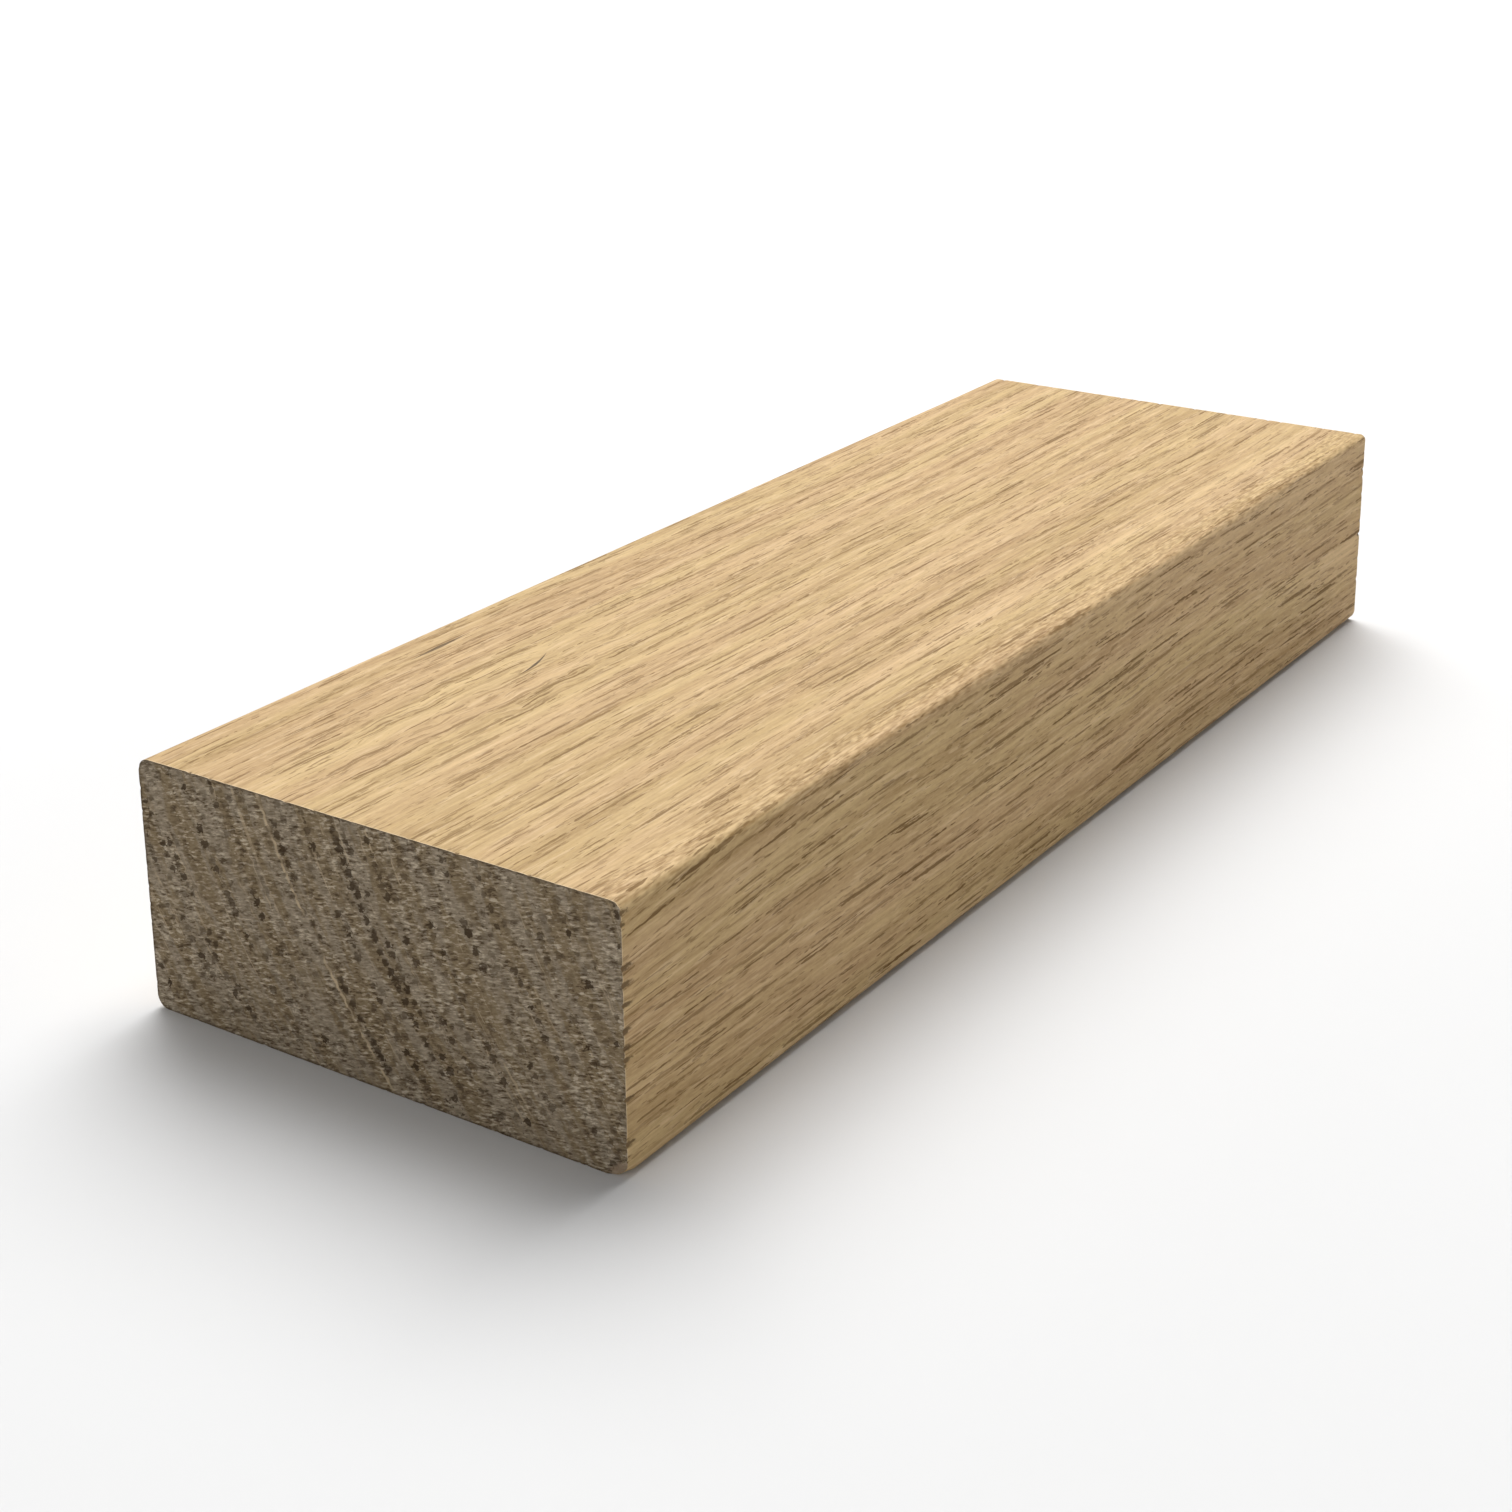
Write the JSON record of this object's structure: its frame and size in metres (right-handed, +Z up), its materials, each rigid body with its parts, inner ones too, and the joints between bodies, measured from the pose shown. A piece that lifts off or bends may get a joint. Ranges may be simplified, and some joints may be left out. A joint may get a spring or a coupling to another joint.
{
  "type": "base rail",
  "caption": "Straight plain stair base rail in solid pale hardwood: a flat rectangular section with lightly eased long edges and square-sawn ends, for setting under balustrade spindles.",
  "frame": {"origin": "middle of the flat underside, half way between the two sawn ends", "axes": "+X along the rail and its grain, +Y across its width, +Z up from the underside to the top face"},
  "size_m": [0.19, 0.065, 0.03],
  "materials": {
    "timber": "bare planed and lightly sanded hardwood, unfinished, with coarser sawn end grain"
  },
  "bodies": {
    "root": {"base_rail": "timber"}
  },
  "joints": []
}
